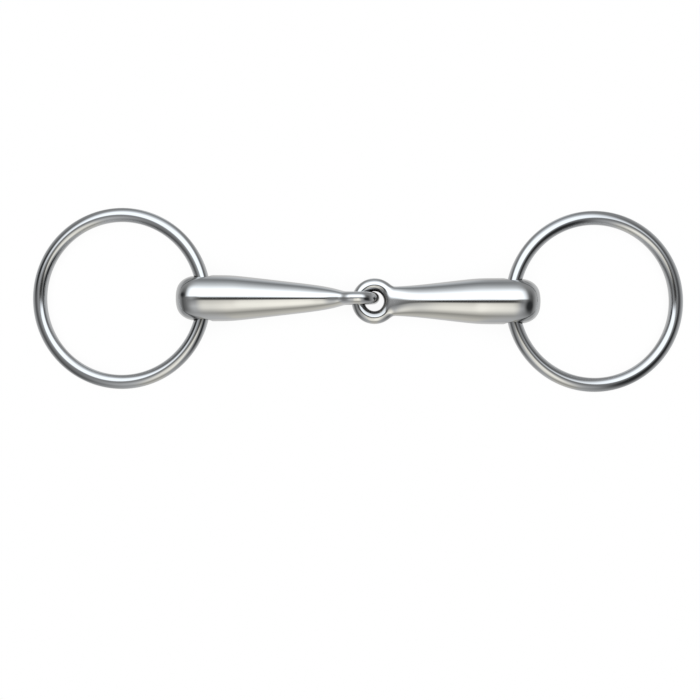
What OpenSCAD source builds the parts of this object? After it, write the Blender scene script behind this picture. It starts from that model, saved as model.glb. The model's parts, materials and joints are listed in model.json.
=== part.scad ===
// Loose ring snaffle bit with a thick, hollow, single-jointed mouthpiece.
// Millimetres. X runs along the mouthpiece, Y along the ring holes, Z up from the table under the bit.
// The origin is the fold axis of the centre joint, midway between the two rings.

/* [Mouthpiece] */
// Clear mouth width between the two ring wires
mouth_width = 127; // [114:1:152]
// Thickness of the bulb at each ring end
mouth_d = 20; // [18:0.5:21]
// Distance from a ring hole's axis to the end of its bulb
bulb_overhang = 11.3; // [10.8:0.1:12.5]
// Corner radius of the rounded bulb end
bulb_corner_r = 8.5; // [6:0.1:8.5]
// Slope of the taper from bulb to neck, in degrees
taper_angle = 6.7; // [5.8:0.1:6.9]
// Radius of the long curve that joins the bulb to the taper
shoulder_r = 120; // [80:5:160]
// Distance from the left ring hole to the corner where the left taper starts
left_taper_from_hole = 12.7; // [12:0.1:16]
// Distance from the right ring hole to the corner where the right taper starts
right_taper_from_hole = 15.5; // [12:0.1:16]
// Thickness of the wall around the hollow
wall = 2.6; // [2:0.1:3]

/* [Centre joint] */
// Thickness of the wire that each linked eye is formed as
eye_wire_d = 5.6; // [5:0.1:5.7]
// Inside diameter of each eye
eye_hole_d = 8.5; // [8.4:0.1:9]
// Width of the neck where it runs into the eye
neck_w = 12.3; // [11:0.1:12.6]
// Radius of the curve between neck and eye
neck_fillet_r = 5; // [3:0.5:6]
// Thickness of the neck at the end of its steep flats
neck_flat_t = 11; // [9:0.1:11.4]
// Distance from an eye's centre to the end of the steep flats
neck_flat_end = 15; // [14:0.5:17]
// Distance between the eye centres along the mouthpiece at rest
eye_spacing = 7.65; // [7:0.05:8]
// Distance that each half lies aside from the centre line, within the joint's play
side_play = 0.65; // [0:0.05:0.65]

/* [Rings] */
// Outside diameter of each ring
ring_d = 78.5; // [70:0.5:80]
// Thickness of the ring wire
ring_wire_d = 6; // [5.5:0.1:6.4]
// Running play between the wire and its hole, on the radius
ring_play = 0.4; // [0.3:0.05:0.6]

/* [Hidden] */
$fn = 96;

mouth_r = mouth_d / 2;
eye_wire_r = eye_wire_d / 2;
eye_core_r = (eye_hole_d + eye_wire_d) / 2;
eye_outer_r = eye_core_r + eye_wire_r;
neck_r = neck_w / 2;
taper_slope = tan(taper_angle);

// A ring's wire curves inside its straight hole, so the hole is wider than the wire by the curve's height.
ring_wire_r = ring_wire_d / 2;
ring_core_r = ring_d / 2 - ring_wire_r;
wire_rise = ring_core_r - sqrt(pow(ring_core_r, 2) - pow(mouth_r, 2));
hole_r = ring_wire_r + wire_rise / 2 + ring_play;
hole_x = mouth_width / 2 + ring_wire_r + wire_rise / 2;
ring_reach = ring_core_r - wire_rise / 2;

// The far side of each ring lies on the table beside the bulbs.
ring_droop = asin((mouth_r - ring_wire_r) / (ring_reach + ring_core_r));

// The right eye's wire passes through the origin; the left eye hangs back from it.
right_eye_x = eye_core_r;
left_eye_x = right_eye_x - eye_spacing;
left_length = hole_x + left_eye_x;
right_length = hole_x - right_eye_x;

// The hollow stays clear of the ring hole and ends where the taper grows thin.
hollow_r = mouth_r - wall;
hollow_hole_gap = hole_r + wall;
hollow_thin_r = 3.6;
hollow_tip_l = 3;
shoulder_drop = shoulder_r * (1 / cos(taper_angle / 2) - 1);

steel = [0.78, 0.79, 0.8];
steel_ring = [0.72, 0.74, 0.76];
cut = 1;

// Distance from the eye at which the taper has radius r
function taper_u(r, corner_u) = corner_u - (mouth_r - r) / taper_slope;

// Outline of a cannon on one side of its axis: neck, taper, shoulder, bulb. Radius is X, distance is Y.
module cannon_outline(length, corner_u) {
  end_u = length + bulb_overhang;
  bulb_u = corner_u + shoulder_r * tan(taper_angle / 2);
  tangent_u = bulb_u - shoulder_r * sin(taper_angle);
  tangent_r = mouth_r - shoulder_r * (1 - cos(taper_angle));
  neck_start = sqrt(pow(eye_core_r, 2) - pow(neck_r, 2));
  polygon([
    [0, neck_start],
    [neck_r, neck_start],
    [neck_r, taper_u(neck_r, corner_u)],
    [tangent_r, tangent_u],
    [0, tangent_u]
  ]);
  intersection() {
    translate([mouth_r - shoulder_r, bulb_u]) circle(shoulder_r, $fn = 720);
    translate([0, tangent_u]) square([mouth_r, bulb_u - tangent_u]);
  }
  translate([0, bulb_u]) square([mouth_r, end_u - bulb_corner_r - bulb_u]);
  translate([0, bulb_u]) square([mouth_r - bulb_corner_r, end_u - bulb_u]);
  intersection() {
    translate([mouth_r - bulb_corner_r, end_u - bulb_corner_r]) circle(bulb_corner_r);
    translate([0, bulb_u]) square([mouth_r, end_u - bulb_u]);
  }
}

// The space between the two flat faces that thin the neck down to the eye
module neck_flats(length) {
  gentle_end = neck_flat_end + (mouth_r + cut - neck_flat_t / 2) / (2 * taper_slope);
  far = length + bulb_overhang + cut;
  steep_start = eye_core_r - cut;
  upper = [
    [0, eye_wire_r],
    [steep_start, eye_wire_r],
    [neck_flat_end, neck_flat_t / 2],
    [gentle_end, mouth_r + cut],
    [far, mouth_r + cut]
  ];
  lower = [for (i = [len(upper) - 1:-1:0]) [upper[i][0], -upper[i][1]]];
  rotate([90, 0, 0])
    linear_extrude(height = mouth_d + 2 * cut, center = true)
      polygon(concat(upper, lower));
}

// Web that rounds the inner corner between the neck's edge and the eye
module neck_web() {
  fillet_v = neck_r + neck_fillet_r;
  fillet_u = sqrt(pow(eye_outer_r + neck_fillet_r, 2) - pow(fillet_v, 2));
  touch_v = fillet_v * eye_outer_r / (eye_outer_r + neck_fillet_r);
  linear_extrude(height = 0.6 * eye_wire_d, center = true)
    difference() {
      translate([neck_r / 2, -touch_v]) square([fillet_u - neck_r / 2, 2 * touch_v]);
      circle(eye_core_r);
      for (side = [-1, 1]) translate([fillet_u, side * fillet_v]) circle(neck_fillet_r);
    }
}

// Sealed hollow inside the taper and the bulb
module hollow(length, corner_u) {
  wide_end = length - hollow_hole_gap;
  thin_end = taper_u(hollow_thin_r + wall, corner_u);
  rotate([0, 90, 0]) rotate_extrude()
    polygon([
      [0, thin_end - hollow_tip_l],
      [hollow_thin_r / 2, thin_end - hollow_tip_l / 2],
      [hollow_thin_r, thin_end],
      [hollow_r - shoulder_drop, corner_u],
      [hollow_r, wide_end - wall],
      [hollow_r - wall, wide_end],
      [0, wide_end]
    ]);
}

// One half of the mouthpiece. Its eye is at the origin in the XY plane and its barrel runs along +X.
// hole_turn turns the ring hole about the barrel, away from the eye's plane.
module cannon(length, taper_from_hole, hole_turn) {
  corner_u = length - taper_from_hole;
  difference() {
    union() {
      difference() {
        intersection() {
          rotate([0, 90, 0]) rotate_extrude() cannon_outline(length, corner_u);
          neck_flats(length);
        }
        cylinder(r = eye_core_r, h = mouth_d, center = true);
      }
      neck_web();
      rotate_extrude() translate([eye_core_r, 0]) circle(eye_wire_r);
    }
    translate([length, 0, 0]) rotate([90 + hole_turn, 0, 0])
      cylinder(r = hole_r, h = mouth_d + 2 * cut, center = true);
    hollow(length, corner_u);
  }
}

// One round-wire ring, lying flat with its centre on the origin
module wire_ring() {
  rotate_extrude($fn = 192) translate([ring_core_r, 0]) circle(ring_wire_r, $fn = 48);
}

// Ring of the left side, threaded through the left hole and drooping to the table
module left_ring() {
  color(steel_ring) translate([-hole_x, side_play, 0]) rotate([0, -ring_droop, 0])
    translate([-ring_reach, 0, 0]) wire_ring();
}

// Left half of the mouthpiece, with its eye standing on edge
module left_cannon() {
  color(steel) translate([left_eye_x, side_play, 0]) rotate([90, 0, 180])
    cannon(left_length, left_taper_from_hole, 90);
}

// Right half of the mouthpiece, with its eye lying flat
module right_cannon() {
  color(steel) translate([right_eye_x, -side_play, 0])
    cannon(right_length, right_taper_from_hole, 0);
}

// Ring of the right side, threaded through the right hole and drooping to the table
module right_ring() {
  color(steel_ring) translate([hole_x, -side_play, 0]) rotate([0, ring_droop, 0])
    translate([ring_reach, 0, 0]) wire_ring();
}

left_ring();
left_cannon();
right_cannon();
right_ring();
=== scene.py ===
import json
import math

import bmesh
import bpy
import numpy as np
from mathutils import Matrix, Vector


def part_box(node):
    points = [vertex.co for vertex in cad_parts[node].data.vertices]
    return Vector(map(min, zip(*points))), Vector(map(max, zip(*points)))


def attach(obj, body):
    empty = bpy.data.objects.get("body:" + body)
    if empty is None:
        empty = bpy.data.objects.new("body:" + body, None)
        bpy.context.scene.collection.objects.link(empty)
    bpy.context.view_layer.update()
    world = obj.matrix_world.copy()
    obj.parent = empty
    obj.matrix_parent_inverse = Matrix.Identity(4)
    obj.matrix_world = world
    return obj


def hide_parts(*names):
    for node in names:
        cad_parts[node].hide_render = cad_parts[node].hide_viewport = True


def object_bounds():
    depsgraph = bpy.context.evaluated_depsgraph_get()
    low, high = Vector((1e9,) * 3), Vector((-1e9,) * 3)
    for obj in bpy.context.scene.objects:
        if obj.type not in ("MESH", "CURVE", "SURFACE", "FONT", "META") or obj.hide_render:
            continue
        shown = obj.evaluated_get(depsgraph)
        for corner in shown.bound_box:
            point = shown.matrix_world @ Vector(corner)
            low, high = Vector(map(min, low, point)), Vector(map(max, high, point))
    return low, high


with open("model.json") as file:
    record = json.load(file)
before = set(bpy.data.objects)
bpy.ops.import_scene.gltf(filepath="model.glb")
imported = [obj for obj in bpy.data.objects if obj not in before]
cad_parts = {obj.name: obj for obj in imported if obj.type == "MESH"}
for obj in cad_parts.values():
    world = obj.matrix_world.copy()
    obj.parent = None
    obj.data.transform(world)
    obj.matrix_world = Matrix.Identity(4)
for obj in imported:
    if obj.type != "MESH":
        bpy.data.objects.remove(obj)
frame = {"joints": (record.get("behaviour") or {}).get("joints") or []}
cad_low, cad_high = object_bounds()

MM = 0.001

# ---- Places and outer sizes, in millimetres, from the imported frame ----
joints = {joint["name"]: joint for joint in frame["joints"]}
left_hole = [x / MM for x in joints["left_ring_swing"]["pos_m"]]
right_hole = [x / MM for x in joints["right_ring_swing"]["pos_m"]]


def box_mm(node):
    low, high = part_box(node)
    return np.array(low) / MM, np.array(high) / MM


LEFT_LOW, LEFT_HIGH = box_mm("left_cannon")
RIGHT_LOW, RIGHT_HIGH = box_mm("right_cannon")
RING_LOW, RING_HIGH = box_mm("right_ring")

# The ring's hole is level with the axis, and the ring droops from it to the table.
MOUTH_R = (RIGHT_HIGH[2] - RIGHT_LOW[2]) / 2
RING_OUTER_R = (RING_HIGH[1] - RING_LOW[1]) / 2
WIRE_R = RING_HIGH[2] - RING_LOW[2] - MOUTH_R
RING_R = RING_OUTER_R - WIRE_R
WIRE_RISE = RING_R - math.sqrt(RING_R**2 - MOUTH_R**2)
RING_REACH = RING_R - WIRE_RISE / 2
RING_DROOP = math.asin((MOUTH_R - WIRE_R) / (RING_REACH + RING_R))
RING_PLAY = 0.4
HOLE_R = WIRE_R + WIRE_RISE / 2 + RING_PLAY

# ---- Sizes that the frame doesn't hold, in millimetres ----
EYE_WIRE_R = 2.8
EYE_R = 7.05
EYE_OUTER_R = EYE_R + EYE_WIRE_R
EYE_FLATTEN = 1.05
RIGHT_EYE_X = RIGHT_LOW[0] + EYE_OUTER_R
LEFT_EYE_X = LEFT_HIGH[0] - EYE_OUTER_R

TAPER_SLOPE = math.tan(math.radians(6.7))
LEFT_TAPER_FROM_HOLE = 12.7
RIGHT_TAPER_FROM_HOLE = 15.5
SHOULDER_SOFT = 3.5
CAP_LENGTH = 13.0
CAP_POWER = 2.8

# The neck starts at the eye's wire. It is wide in the eye's plane and flat across it.
NECK_R = 6.15
NECK_START = 4.6
NECK_START_SOFT = 0.8
NECK_HALF_T = 2.4
NECK_THICKENING = 0.21
NECK_SWELL = 0.9
NECK_SWELL_LENGTH = 3.0
NECK_SQUARE = 0.6
NECK_SQUARE_AT = 7.0
NECK_SQUARE_LENGTH = 6.0
FLARE_START = 5.0
FLARE_LENGTH = 7.0
LEFT_FLARE = 1.6
RIGHT_FLARE = 0.0

# How far two surfaces run into each other where they meet.
TAPER_TO_NECK = 2.0
TAPER_TO_FLAT = 1.2
NECK_TO_EYE_HOLE = 2.2
NECK_TO_EYE = 1.6
NECK_END = 3.2
NECK_END_SOFT = 1.5
EYE_HOLE_MARGIN = 0.2
RING_HOLE_SOFT = 0.6


# ---- Smooth maths on arrays ----
def soft_min(a, b, k):
    h = np.maximum(k - np.abs(a - b), 0) / k
    return np.minimum(a, b) - h**3 * k / 6


def soft_max(a, b, k):
    return -soft_min(-a, -b, k)


def soft_ramp(t, k):
    return (t + np.sqrt(t * t + k * k)) / 2


def bell(t):
    return np.exp(-(t**2))


# ---- The shape of one cannon, as a smooth field that is zero on its surface ----
class Cannon:
    """Half of the mouthpiece in its own frame: eye at the origin in the UV plane, barrel along +U."""

    def __init__(self, length, end, taper_from_hole, hole_along, flare):
        self.length = length
        self.end = end
        self.corner = length - taper_from_hole
        self.hole_along = hole_along
        self.flare = flare

    def taper(self, u):
        return MOUTH_R - TAPER_SLOPE * soft_ramp(self.corner - u, SHOULDER_SOFT)

    def half_width(self, u):
        neck = NECK_R + self.flare * bell(np.maximum(u - FLARE_START, 0) / FLARE_LENGTH)
        return soft_max(self.taper(u), neck, TAPER_TO_NECK)

    def half_thickness(self, u):
        along = soft_ramp(u - NECK_START, NECK_START_SOFT)
        swell = NECK_SWELL * (1 - np.exp(-along / NECK_SWELL_LENGTH))
        flat = NECK_HALF_T + NECK_THICKENING * along + swell
        return soft_min(self.taper(u), flat, TAPER_TO_FLAT)

    def barrel(self, u, v, w):
        """Neck, taper and rounded end."""
        half_t = self.half_thickness(u)
        power = 2 + NECK_SQUARE * bell((u - NECK_SQUARE_AT) / NECK_SQUARE_LENGTH)
        wide = np.abs(v / self.half_width(u)) ** power
        thick = np.abs(w / half_t) ** power
        section = (wide + thick + 1e-6) ** (1 / power)
        cap = np.maximum((u - (self.end - CAP_LENGTH)) / CAP_LENGTH, 0)
        return ((section**CAP_POWER + cap**CAP_POWER) ** (1 / CAP_POWER) - 1) * half_t

    def off_hole(self, p):
        """Distance from the axis of the ring's hole."""
        across = p[..., 2] if self.hole_along == "v" else p[..., 1]
        return np.hypot(p[..., 0] - self.length, across)

    def field(self, p):
        u, v, w = p[..., 0], p[..., 1], p[..., 2]
        from_eye = np.hypot(u, v)
        body = self.barrel(u, v, w)
        body = soft_max(body, EYE_R - EYE_WIRE_R + EYE_HOLE_MARGIN - from_eye, NECK_TO_EYE_HOLE)
        body = soft_max(body, NECK_END - u, NECK_END_SOFT)
        eye = np.hypot(from_eye - EYE_R, EYE_FLATTEN * w) - EYE_WIRE_R
        solid = soft_min(body, eye, NECK_TO_EYE)
        return soft_max(solid, HOLE_R - self.off_hole(p), RING_HOLE_SOFT)

    def gradient(self, p, h=0.004):
        g = np.empty_like(p)
        for axis in range(3):
            step = np.zeros(3)
            step[axis] = h
            g[..., axis] = (self.field(p + step) - self.field(p - step)) / (2 * h)
        return g


class Placed:
    """A cannon set down in the frame: its points are its own turned and moved, in millimetres."""

    def __init__(self, shape, turn, eye_at):
        self.shape = shape
        self.turn = np.array(turn, float)
        self.eye_at = np.array(eye_at, float)

    def out(self, points):
        return points @ self.turn.T + self.eye_at

    def back(self, points):
        return (points - self.eye_at) @ self.turn

    def field(self, points):
        return self.shape.field(self.back(points))


# ---- Meshes ----
def crossing_points(values, inside, cells):
    """For every grid cell: the sum of the points where the surface crosses its edges, and their count."""
    total = np.zeros(cells + (3,))
    crossings = np.zeros(cells)

    def window(a, step):
        i, j, k = step
        return a[i : i + cells[0], j : j + cells[1], k : k + cells[2]]

    for start in np.ndindex(2, 2, 2):
        for axis in range(3):
            if start[axis]:
                continue
            stop = tuple(s + (1 if i == axis else 0) for i, s in enumerate(start))
            a, b = window(values, start), window(values, stop)
            crossed = window(inside, start) != window(inside, stop)
            t = np.where(crossed, a / np.where(crossed, a - b, 1.0), 0.0)
            point = np.array(start, float) + t[..., None] * np.eye(3)[axis]
            total += np.where(crossed[..., None], point, 0.0)
            crossings += crossed
    return total, crossings


def quads_across(axis, inside, index, cells):
    """The quads round every grid edge along one axis that the surface crosses."""
    o1, o2 = (axis + 1) % 3, (axis + 2) % 3
    here = [slice(1, cells[i]) for i in range(3)]
    here[axis] = slice(0, cells[axis])
    ahead = list(here)
    ahead[axis] = slice(1, cells[axis] + 1)
    a, b = inside[tuple(here)], inside[tuple(ahead)]
    quads = []
    for crossed, flip in ((a & ~b, False), (~a & b, True)):
        at = np.argwhere(crossed)
        at[:, o1] += 1
        at[:, o2] += 1
        corners = []
        for d1, d2 in ((-1, -1), (0, -1), (0, 0), (-1, 0)):
            c = at.copy()
            c[:, o1] += d1
            c[:, o2] += d2
            corners.append(index[c[:, 0], c[:, 1], c[:, 2]])
        if flip:
            corners.reverse()
        quads.append(np.stack(corners, -1))
    return quads


def surface_net(shape, low, high, pitch):
    """A quad mesh of the zero surface of shape.field over a box, one vertex per crossed grid cell."""
    counts = [int(math.ceil((high[i] - low[i]) / pitch)) + 1 for i in range(3)]
    axes = [low[i] + pitch * np.arange(counts[i]) for i in range(3)]
    values = shape.field(np.stack(np.meshgrid(*axes, indexing="ij"), -1))
    inside = values < 0
    cells = tuple(c - 1 for c in counts)
    total, crossings = crossing_points(values, inside, cells)
    used = crossings > 0
    index = -np.ones(cells, np.int64)
    index[used] = np.arange(used.sum())
    points = np.array(low) + pitch * (np.argwhere(used) + total[used] / crossings[used][:, None])
    quads = []
    for axis in range(3):
        quads += quads_across(axis, inside, index, cells)
    return points, np.concatenate(quads)


def project(shape, points):
    """Moves points onto the surface."""
    for _ in range(2):
        g = shape.gradient(points)
        points = points - (shape.field(points) / (g**2).sum(-1))[:, None] * g
    return points


def settle(shape, points, quads, rounds=4, pull=0.6):
    """Evens out the mesh along the surface and pulls every vertex onto it."""
    edges = np.concatenate([quads[:, [i, (i + 1) % 4]] for i in range(4)])
    for _ in range(rounds):
        total = np.zeros_like(points)
        count = np.zeros(len(points))
        for a, b in ((0, 1), (1, 0)):
            np.add.at(total, edges[:, a], points[edges[:, b]])
            np.add.at(count, edges[:, a], 1)
        points = points + pull * (total / count[:, None] - points)
        points = project(shape, points)
    return project(shape, points)


def make_piece(name, points_mm, quads, normals, node):
    """A smooth mesh that rides on its CAD body and stands in for it."""
    mesh = bpy.data.meshes.new(name)
    mesh.vertices.add(len(points_mm))
    mesh.vertices.foreach_set("co", (points_mm * MM).astype(np.float32).ravel())
    mesh.loops.add(quads.size)
    mesh.loops.foreach_set("vertex_index", quads.astype(np.int32).ravel())
    mesh.polygons.add(len(quads))
    mesh.polygons.foreach_set("loop_start", np.arange(0, quads.size, 4, dtype=np.int32))
    mesh.update(calc_edges=True)
    mesh.validate()
    mesh.shade_smooth()
    mesh.normals_split_custom_set_from_vertices(normals.astype(np.float32))
    piece = bpy.data.objects.new(name, mesh)
    bpy.context.scene.collection.objects.link(piece)
    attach(piece, node)
    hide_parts(node)
    return piece


def add_mask(piece, name, values):
    mask = piece.data.attributes.new(name, "FLOAT", "POINT")
    mask.data.foreach_set("value", values.astype(np.float32))


def fade_out(distance, end, length):
    """1 up to length before the end, 0 from the end on."""
    return np.clip((end - distance) / length, 0, 1)


# ---- The two halves of the mouthpiece ----
MESH_PITCH = 0.3
MESH_MARGIN = 0.7


def cannon_piece(name, placed, other, node):
    shape = placed.shape
    side = MOUTH_R + MESH_MARGIN
    low = np.array([-EYE_OUTER_R - MESH_MARGIN, -side, -side])
    high = np.array([shape.end + MESH_MARGIN, side, side])
    points, quads = surface_net(shape, low, high, MESH_PITCH)
    points = settle(shape, points, quads)
    normals = shape.gradient(points)
    normals /= np.linalg.norm(normals, axis=-1)[:, None]
    spots = placed.out(points)
    piece = make_piece(name, spots, quads, normals @ placed.turn.T, node)
    from_eye = np.hypot(points[:, 0], points[:, 1])
    # Ring hole walls and the eye's hole: rougher because they are unpolished, and darkened towards near
    # black as painted shade for the dark reflections inside them.
    bore_dull_and_shaded = fade_out(shape.off_hole(points), HOLE_R + 0.6, 0.5)
    eye_hole_dull_and_shaded = 0.75 * fade_out(from_eye, 5.8, 0.9)
    add_mask(piece, "unpolished_and_painted_shade", np.maximum(bore_dull_and_shaded, eye_hole_dull_and_shaded))
    # Painted shade: the inner side of the eye and the places close to the other cannon are darkened, where
    # the two halves shade each other.
    eye_inside_shade = 0.4 * fade_out(from_eye, 6.9, 0.8)
    shade_near_other = fade_out(other.field(spots), 2.6, 2.0)
    add_mask(piece, "painted_shade", np.maximum(eye_inside_shade, shade_near_other))
    return piece


LEFT_TURN = [[-1, 0, 0], [0, 0, 1], [0, 1, 0]]
RIGHT_TURN = np.eye(3)
left_shape = Cannon(
    LEFT_EYE_X - left_hole[0], LEFT_EYE_X - LEFT_LOW[0], LEFT_TAPER_FROM_HOLE, "w", LEFT_FLARE
)
right_shape = Cannon(
    right_hole[0] - RIGHT_EYE_X, RIGHT_HIGH[0] - RIGHT_EYE_X, RIGHT_TAPER_FROM_HOLE, "v", RIGHT_FLARE
)
left_place = Placed(left_shape, LEFT_TURN, [LEFT_EYE_X, left_hole[1], 0])
right_place = Placed(right_shape, RIGHT_TURN, [RIGHT_EYE_X, right_hole[1], 0])
left_cannon = cannon_piece("left_mouthpiece", left_place, right_place, "left_cannon")
right_cannon = cannon_piece("right_mouthpiece", right_place, left_place, "right_cannon")


# ---- The two rings ----
def torus(around, across):
    """Points, outward normals and quads of a ring round the origin, flat in the XY plane."""
    turn = np.linspace(0, 2 * np.pi, around, endpoint=False)
    roll = np.linspace(0, 2 * np.pi, across, endpoint=False)
    turn, roll = np.meshgrid(turn, roll, indexing="ij")
    normals = np.stack([np.cos(roll) * np.cos(turn), np.cos(roll) * np.sin(turn), np.sin(roll)], -1)
    core = np.stack([np.cos(turn), np.sin(turn), 0 * turn], -1)
    points = RING_R * core + WIRE_R * normals
    i, j = np.meshgrid(np.arange(around), np.arange(across), indexing="ij")
    i2, j2 = (i + 1) % around, (j + 1) % across
    quads = np.stack([i * across + j, i2 * across + j, i2 * across + j2, i * across + j2], -1)
    return points.reshape(-1, 3), normals.reshape(-1, 3), quads.reshape(-1, 4)


def ring_piece(name, side, hole, node):
    """One ring, threaded through its hole and drooping to the table."""
    points, normals, quads = torus(640, 72)
    points[:, 0] += side * RING_REACH
    turn = np.array(Matrix.Rotation(side * RING_DROOP, 3, "Y"))
    placed = points @ turn.T + np.array(hole)
    return make_piece(name, placed, quads, normals @ turn.T, node)


left_ring = ring_piece("left_loose_ring", -1, left_hole, "left_ring")
right_ring = ring_piece("right_loose_ring", 1, right_hole, "right_ring")


# ---- Materials ----
def rgb(r, g, b):
    return (r, g, b, 1.0)


def grey(level):
    return rgb(level, level, level)


def tinted(level, tint):
    return rgb(*[level * part for part in tint])


class Nodes:
    """Short calls for building a node tree."""

    def __init__(self, tree):
        self.tree = tree
        tree.nodes.clear()

    def add(self, kind, **settings):
        node = self.tree.nodes.new(kind)
        for key, value in settings.items():
            setattr(node, key, value)
        return node

    def link(self, source, target):
        self.tree.links.new(source, target)

    def put(self, socket, value):
        if isinstance(value, bpy.types.NodeSocket):
            self.link(value, socket)
        elif value is not None:
            socket.default_value = value

    def math(self, operation, a, b=None, c=None):
        node = self.add("ShaderNodeMath", operation=operation)
        for socket, value in zip(node.inputs, (a, b, c)):
            self.put(socket, value)
        return node.outputs[0]

    def smooth(self, value, low, high, out_low=0.0, out_high=1.0):
        node = self.add("ShaderNodeMapRange", interpolation_type="SMOOTHSTEP")
        for socket, v in zip(node.inputs, (value, low, high, out_low, out_high)):
            self.put(socket, v)
        return node.outputs[0]

    def mix(self, factor, a, b, blend="MIX"):
        node = self.add("ShaderNodeMix", data_type="RGBA", blend_type=blend)
        self.put(node.inputs[0], factor)
        self.put(node.inputs[6], a)
        self.put(node.inputs[7], b)
        return node.outputs[2]

    def noise(self, vector, scale, detail=2.0, roughness=0.5):
        node = self.add("ShaderNodeTexNoise")
        self.put(node.inputs["Vector"], vector)
        node.inputs["Scale"].default_value = scale
        node.inputs["Detail"].default_value = detail
        node.inputs["Roughness"].default_value = roughness
        return node.outputs["Fac"]

    def attribute(self, name):
        return self.add("ShaderNodeAttribute", attribute_name=name).outputs["Fac"]

    def distance(self, value, centre):
        return self.math("ABSOLUTE", self.math("SUBTRACT", value, centre))

    def length(self, a, b):
        squares = self.math("ADD", self.math("MULTIPLY", a, a), self.math("MULTIPLY", b, b))
        return self.math("SQRT", squares)

    def ramp(self, angle, stops, tint):
        """Light by an angle from 0 to 180 degrees."""
        node = self.add("ShaderNodeValToRGB")
        self.put(node.inputs[0], self.math("DIVIDE", angle, 180.0))
        elements = node.color_ramp.elements
        while len(elements) < len(stops):
            elements.new(1.0)
        for element, (at, level) in zip(elements, stops):
            element.position = at / 180.0
            element.color = tinted(level, tint)
        return node.outputs[0]


def new_material(name):
    material = bpy.data.materials.new(name)
    material.use_nodes = True
    return material, Nodes(material.node_tree)


SMEAR_SCALE = 60.0
LINES_SCALE = 900.0
SMEAR_DARKEN = 0.96
# Grey of the painted shade inside the eyes and between the two cannons.
PAINTED_SHADE_COLOUR = grey(0.22)
# Near-black painted shade for the ring holes and the eye's hole.
HOLE_PAINTED_SHADE_COLOUR = rgb(0.12, 0.115, 0.11)
BUMP_STRENGTH = 0.008
BUMP_DEPTH = 0.0001


def steel_material(name, bright, stretch):
    """Mirror-polished stainless steel with fine polishing lines, a faint smear, and painted shade in its
    holes, inside the eyes and where the cannons meet.
    """
    material, n = new_material(name)
    coords = n.add("ShaderNodeTexCoord").outputs["Object"]
    stretched = n.add("ShaderNodeMapping")
    n.link(coords, stretched.inputs["Vector"])
    stretched.inputs["Scale"].default_value = stretch
    smear = n.noise(coords, SMEAR_SCALE, 3.0)
    lines = n.noise(stretched.outputs[0], LINES_SCALE, 4.0, 0.6)
    bore_dull_and_shaded = n.attribute("unpolished_and_painted_shade")
    smeared = rgb(*[SMEAR_DARKEN * c for c in bright[:3]])
    base = n.mix(n.smooth(smear, 0.35, 0.7), bright, smeared)
    # Painted shade inside the eyes and where the two cannons meet.
    base = n.mix(n.attribute("painted_shade"), base, PAINTED_SHADE_COLOUR)
    # Painted shade: the hole walls and the eye's hole are darkened towards near black. The same mask makes
    # them rougher further down.
    base = n.mix(bore_dull_and_shaded, base, HOLE_PAINTED_SHADE_COLOUR)
    rough = n.math("MULTIPLY_ADD", lines, 0.05, 0.035)
    rough = n.math("MULTIPLY_ADD", n.smooth(smear, 0.45, 0.75), 0.03, rough)
    rough = n.math("MULTIPLY_ADD", bore_dull_and_shaded, 0.25, rough)
    bump = n.add("ShaderNodeBump")
    bump.inputs["Strength"].default_value = BUMP_STRENGTH
    bump.inputs["Distance"].default_value = BUMP_DEPTH
    n.link(lines, bump.inputs["Height"])
    shader = n.add("ShaderNodeBsdfPrincipled")
    shader.inputs["Metallic"].default_value = 1.0
    n.link(base, shader.inputs["Base Color"])
    n.link(rough, shader.inputs["Roughness"])
    n.link(bump.outputs[0], shader.inputs["Normal"])
    n.link(shader.outputs[0], n.add("ShaderNodeOutputMaterial").inputs["Surface"])
    return material


ALONG_X = (0.05, 1.0, 1.0)
EVEN = (1.0, 1.0, 1.0)
cannon_steel = steel_material("cannon_steel", rgb(0.74, 0.74, 0.735), ALONG_X)
wire_steel = steel_material("wire_steel", rgb(0.68, 0.685, 0.69), EVEN)
for piece in (left_cannon, right_cannon):
    piece.data.materials.append(cannon_steel)
for piece in (left_ring, right_ring):
    piece.data.materials.append(wire_steel)

# ---- Studio: a dome of soft light that only the metal mirrors ----
# Places on the dome are in degrees from straight up: east towards +X, north towards +Y.
DOME_R = 0.55


def staged_object(name, mesh):
    thing = bpy.data.objects.new(name, mesh)
    bpy.context.scene.collection.objects.link(thing)
    return thing


def dome_object():
    mesh = bpy.data.meshes.new("dome")
    sphere = bmesh.new()
    bmesh.ops.create_uvsphere(sphere, u_segments=96, v_segments=48, radius=DOME_R)
    sphere.to_mesh(mesh)
    sphere.free()
    dome = staged_object("dome", mesh)
    dome.visible_camera = False
    dome.visible_diffuse = False
    dome.visible_shadow = False
    dome.visible_transmission = False
    return dome


PLAIN = (1.0, 1.0, 1.0)
PALE = (0.98, 1.0, 1.02)
COOL = (0.95, 1.0, 1.05)
WARM = (1.04, 1.02, 0.94)

# Each list holds (degrees, light level). The light fades evenly in between and stays level beyond the ends.
# To the north: a wide soft box, the dark back of the room, and its pale lower wall.
BACK = [(45, 1.5), (65, 0.8), (85, 0.4), (100, 0.25), (125, 0.65)]
# To the south: a broad warm glow, a dark band, and the pale wall.
FRONT = [(10, 0.7), (35, 1.0), (50, 1.0), (80, 0.35), (110, 0.6)]
# The same to the left and right of that glow.
FRONT_WINGS = [(0, 0.45), (10, 0.3), (40, 0.6), (75, 0.4), (110, 0.55)]
# To the east and west: a dark gap, then the pale walls.
SIDES = [(45, 0.2), (65, 0.1), (95, 0.45), (115, 0.6)]
GLOW_LEVEL = 1.4
SLIT_LEVEL = 0.06
BLACK_LEVEL = 0.03
BELOW_LEVEL = 0.65
SIDES_CENTRE = -4.5


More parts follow.
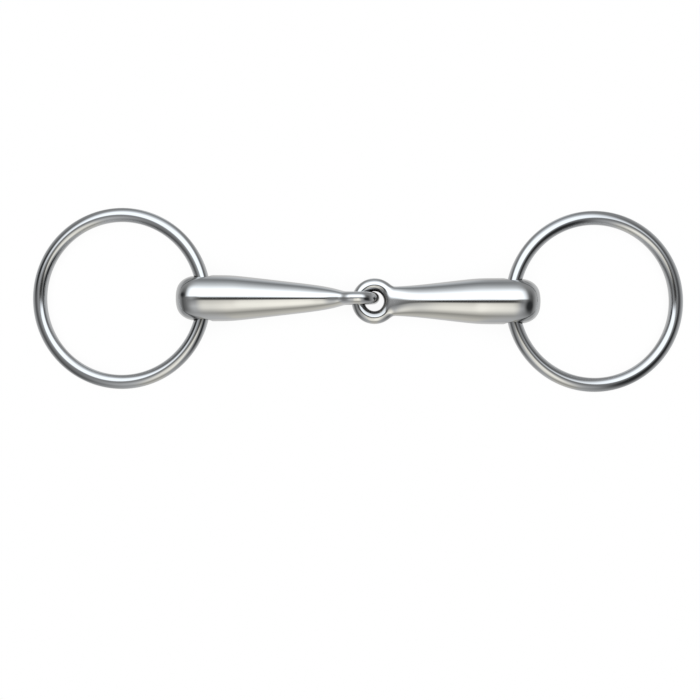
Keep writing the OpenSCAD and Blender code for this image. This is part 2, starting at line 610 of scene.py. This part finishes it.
class DomeLight:
    """The colour that the dome gives off, by direction from its middle."""

    def __init__(self, n):
        self.n = n
        toward = n.add("ShaderNodeVectorMath", operation="NORMALIZE")
        n.link(n.add("ShaderNodeNewGeometry").outputs["Position"], toward.inputs[0])
        parts = n.add("ShaderNodeSeparateXYZ")
        n.link(toward.outputs[0], parts.inputs[0])
        x, y, z = parts.outputs
        heading = n.math("ARCTAN2", y, x)
        self.tilt = n.math("MULTIPLY", n.math("ARCCOSINE", z), 180 / math.pi)
        self.east = n.math("MULTIPLY", self.tilt, n.math("COSINE", heading))
        self.north = n.math("MULTIPLY", self.tilt, n.math("SINE", heading))
        self.south = n.math("MULTIPLY", self.north, -1.0)
        self.wide = n.math("ABSOLUTE", self.east)

    def patch(self, centre, radii, inner, outer):
        """1 inside an ellipse of the dome, fading to 0 outside it."""
        n = self.n
        across = n.math("DIVIDE", n.math("SUBTRACT", self.east, centre[0]), radii[0])
        along = n.math("DIVIDE", n.math("SUBTRACT", self.north, centre[1]), radii[1])
        return n.smooth(n.length(across, along), inner, outer, 1.0, 0.0)

    def from_side(self, share):
        """Degrees from the middle line of the sides, growing with a share of north."""
        n = self.n
        side = n.distance(self.east, SIDES_CENTRE)
        upper = n.math("MINIMUM", n.math("MAXIMUM", self.north, 0.0), 70.0)
        return n.length(side, n.math("MULTIPLY", upper, share))

    def sides(self):
        n = self.n
        colour = n.ramp(self.from_side(0.6), SIDES, PALE)
        colour = n.mix(n.smooth(self.north, 15.0, 75.0), colour, tinted(0.3, PALE), "LIGHTEN")
        return n.mix(n.smooth(self.south, 55.0, 95.0), colour, tinted(0.4, PALE), "LIGHTEN")

    def back(self, sides):
        n = self.n
        colour = n.ramp(self.north, BACK, COOL)
        return n.mix(n.smooth(self.from_side(0.44), 31.0, 55.0), colour, sides)

    def front(self, sides):
        n = self.n
        off_middle = n.smooth(n.distance(self.east, 1.0), 8.0, 26.0)
        middle = n.ramp(self.south, FRONT, WARM)
        colour = n.mix(off_middle, middle, n.ramp(self.south, FRONT_WINGS, PALE))
        glow = n.math("MULTIPLY", self.patch((6, -30), (7, 28), 0.3, 1.3), 0.4)
        colour = n.mix(glow, colour, tinted(GLOW_LEVEL, WARM))
        side = n.distance(self.east, SIDES_CENTRE)
        return n.mix(n.smooth(side, 18.0, 50.0), colour, sides)

    def slit(self):
        """The dark gap straight above, between the lights of front and back."""
        n = self.n
        gap = n.smooth(n.distance(self.north, -3.0), 2.5, 12.0, 1.0, 0.0)
        return n.math("MULTIPLY", gap, n.smooth(self.wide, 10.0, 36.0, 1.0, 0.0))

    def colour(self):
        n = self.n
        sides = self.sides()
        edge = n.smooth(self.wide, 8.0, 22.0, 0.5, 6.5)
        behind = n.smooth(n.math("SUBTRACT", self.north, edge), -4.0, 5.0)
        around = n.mix(behind, self.front(sides), self.back(sides))
        around = n.mix(self.slit(), around, tinted(SLIT_LEVEL, PLAIN))
        black = tinted(BLACK_LEVEL, COOL)
        around = n.mix(self.patch((50, -25), (15, 29), 0.5, 1.5), around, black)
        around = n.mix(self.patch((-71, 16), (15, 13), 0.2, 1.5), around, black)
        return n.mix(n.smooth(self.tilt, 118.0, 145.0), around, tinted(BELOW_LEVEL, PLAIN))


dome = dome_object()
dome_material, dome_nodes = new_material("dome_light")
dome_material.cycles.emission_sampling = "NONE"
dome.data.materials.append(dome_material)
dome_glow = dome_nodes.add("ShaderNodeEmission")
dome_nodes.link(DomeLight(dome_nodes).colour(), dome_glow.inputs["Color"])
dome_out = dome_nodes.add("ShaderNodeOutputMaterial")
dome_nodes.link(dome_glow.outputs[0], dome_out.inputs["Surface"])

# ---- Room: plain white for everything but the metal ----
room = bpy.data.worlds.new("room")
bpy.context.scene.world = room
room.use_nodes = True
room.cycles.sampling_method = "NONE"
room_nodes = Nodes(room.node_tree)
white = room_nodes.add("ShaderNodeBackground")
white.inputs["Color"].default_value = grey(1.0)
room_nodes.link(white.outputs[0], room_nodes.add("ShaderNodeOutputWorld").inputs["Surface"])

# ---- Floor: clear, with a touch of shade under the bit, and nothing at all from below ----
FLOOR_HALF = 1.5
FLOOR_GAP = 0.0002
SHADE_REACH = 0.02
SHADE_DEEPEST = 0.95


def floor_material():
    material, n = new_material("floor_glass")
    openness = n.add("ShaderNodeAmbientOcclusion", samples=16)
    openness.inputs["Distance"].default_value = SHADE_REACH
    contact = n.smooth(openness.outputs["AO"], 0.2, 0.8, SHADE_DEEPEST, 1.0)
    from_below = n.add("ShaderNodeNewGeometry").outputs["Backfacing"]
    level = n.math("MAXIMUM", contact, from_below)
    tint = n.add("ShaderNodeCombineColor")
    for socket in tint.inputs:
        n.link(level, socket)
    clear = n.add("ShaderNodeBsdfTransparent")
    n.link(tint.outputs[0], clear.inputs["Color"])
    n.link(clear.outputs[0], n.add("ShaderNodeOutputMaterial").inputs["Surface"])
    return material


floor_mesh = bpy.data.meshes.new("floor")
corners = [(FLOOR_HALF * x, FLOOR_HALF * y, 0) for x, y in ((-1, -1), (1, -1), (1, 1), (-1, 1))]
floor_mesh.from_pydata(corners, [], [(0, 1, 2, 3)])
floor = staged_object("floor", floor_mesh)
floor.location.z = cad_low[2] - FLOOR_GAP
floor.visible_glossy = False
floor_mesh.materials.append(floor_material())

# ---- Camera, straight above ----
CAMERA_X, CAMERA_Y, CAMERA_HEIGHT = -0.0035, -0.0217, 0.68
FIELD = 0.302
SENSOR = 36.0
camera_data = bpy.data.cameras.new("camera")
camera_data.sensor_width = SENSOR
camera_data.lens = SENSOR * CAMERA_HEIGHT / FIELD
camera_data.clip_start = 0.01
camera = bpy.data.objects.new("camera", camera_data)
camera.location = (CAMERA_X, CAMERA_Y, CAMERA_HEIGHT)
bpy.context.scene.collection.objects.link(camera)
bpy.context.scene.camera = camera
bpy.context.scene.view_settings.view_transform = "Standard"
